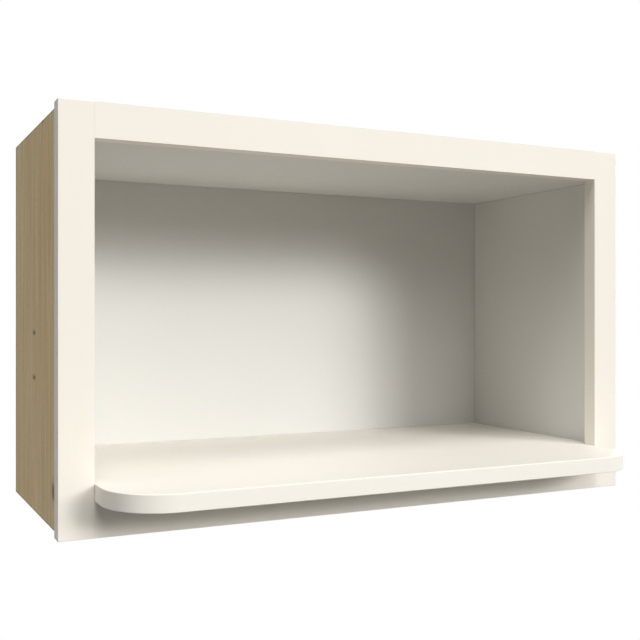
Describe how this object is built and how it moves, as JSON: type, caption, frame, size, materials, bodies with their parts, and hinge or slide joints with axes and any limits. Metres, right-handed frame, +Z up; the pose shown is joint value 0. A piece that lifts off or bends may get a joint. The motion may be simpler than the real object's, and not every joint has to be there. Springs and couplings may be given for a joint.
{
  "type": "microwave wall cabinet",
  "caption": "Wall cabinet with an open bay for a microwave: cream face frame, maple-faced case and a thick fixed shelf that reaches out in front with rounded corners.",
  "frame": {"origin": "on the wall, in the middle of the rear face of the upper hanging rail, by which the cabinet is screwed to the wall", "axes": "+X to the right of someone who faces the cabinet, +Y into the wall, +Z up"},
  "size_m": [0.762, 0.3937, 0.4572],
  "materials": {
    "cream_paint": "satin cream paint on hardwood and fibreboard",
    "maple_board": "plywood, maple veneer outside, cream inside",
    "lined_back": "thin hardboard, cream inside, raw behind",
    "raw_pine": "planed and left raw",
    "zinc_steel": "zinc plated"
  },
  "bodies": {
    "root": {"left_stile": "cream_paint", "right_stile": "cream_paint", "top_rail": "cream_paint", "bottom_rail": "cream_paint", "left_side": "maple_board", "right_side": "maple_board", "top_panel": "maple_board", "bottom_panel": "maple_board", "back_panel": "lined_back", "upper_hanging_rail": "raw_pine", "lower_hanging_rail": "raw_pine", "upper_left_glue_block": "raw_pine", "upper_right_glue_block": "raw_pine", "lower_left_glue_block": "raw_pine", "lower_right_glue_block": "raw_pine", "microwave_shelf": "cream_paint", "top_rail_left_screw_1": "zinc_steel", "top_rail_left_screw_2": "zinc_steel", "top_rail_right_screw_1": "zinc_steel", "top_rail_right_screw_2": "zinc_steel", "bottom_rail_left_screw_1": "zinc_steel", "bottom_rail_left_screw_2": "zinc_steel", "bottom_rail_right_screw_1": "zinc_steel", "bottom_rail_right_screw_2": "zinc_steel", "shelf_screw_1": "zinc_steel", "shelf_screw_2": "zinc_steel", "shelf_screw_3": "zinc_steel", "shelf_screw_4": "zinc_steel", "shelf_screw_5": "zinc_steel", "shelf_screw_6": "zinc_steel", "upper_back_screw_1": "zinc_steel", "upper_back_screw_2": "zinc_steel", "upper_back_screw_3": "zinc_steel", "upper_back_screw_4": "zinc_steel", "lower_back_screw_1": "zinc_steel", "lower_back_screw_2": "zinc_steel", "lower_back_screw_3": "zinc_steel", "lower_back_screw_4": "zinc_steel"}
  },
  "joints": []
}
